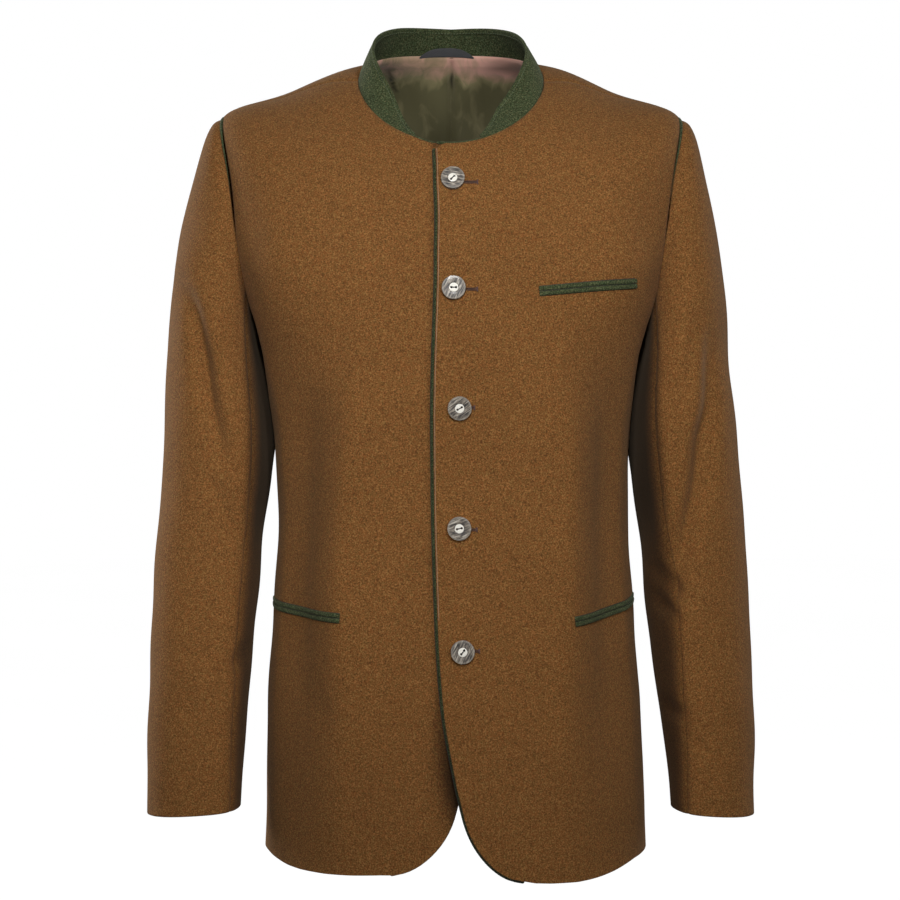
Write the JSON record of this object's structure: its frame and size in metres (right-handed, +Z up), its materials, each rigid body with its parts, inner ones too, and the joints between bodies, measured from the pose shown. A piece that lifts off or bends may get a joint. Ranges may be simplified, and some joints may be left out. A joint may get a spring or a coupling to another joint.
{
  "type": "tyrolean loden jacket",
  "caption": "Hip-length single-breasted wool jacket with a contrast stand collar, curved cutaway front corners, piped edges, jetted pockets and horn buttons, hollow in its worn form.",
  "frame": {"origin": "on the centre plane between the two highest points of the shoulder seams, where the wearer's shoulders carry the jacket", "axes": "+Z up along the back neck, -Y the way the wearer faces, +X the wearer's left"},
  "size_m": [0.5717, 0.2912, 0.7973],
  "materials": {
    "brown_loden": "milled brown wool with fine orange, russet and grey flecks and a short nap",
    "green_loden": "milled green wool with paler flecks and a short nap",
    "shot_lining": "olive lining shot with dusty rose, satin sheen",
    "dark_ribbon": "charcoal ribbed ribbon",
    "staghorn": "streaked grey-brown antler, polished pale rim"
  },
  "bodies": {
    "root": {"front_left": "brown_loden", "front_right": "brown_loden", "back_left": "brown_loden", "back_right": "brown_loden", "sleeve_left_top": "brown_loden", "sleeve_left_under": "brown_loden", "sleeve_right_top": "brown_loden", "sleeve_right_under": "brown_loden", "shoulder_piping_left": "green_loden", "shoulder_piping_right": "green_loden", "back_lining_left": "shot_lining", "back_lining_right": "shot_lining", "stand_collar": "green_loden", "neck_piping_left": "green_loden", "neck_piping_right": "green_loden", "front_edge_piping": "green_loden", "chest_pocket_upper": "green_loden", "chest_pocket_lower": "green_loden", "pocket_left_upper": "green_loden", "pocket_left_lower": "green_loden", "pocket_right_upper": "green_loden", "pocket_right_lower": "green_loden", "hanger_loop": "dark_ribbon", "button_1": "staghorn", "button_2": "staghorn", "button_3": "staghorn", "button_4": "staghorn", "button_5": "staghorn"}
  },
  "joints": []
}
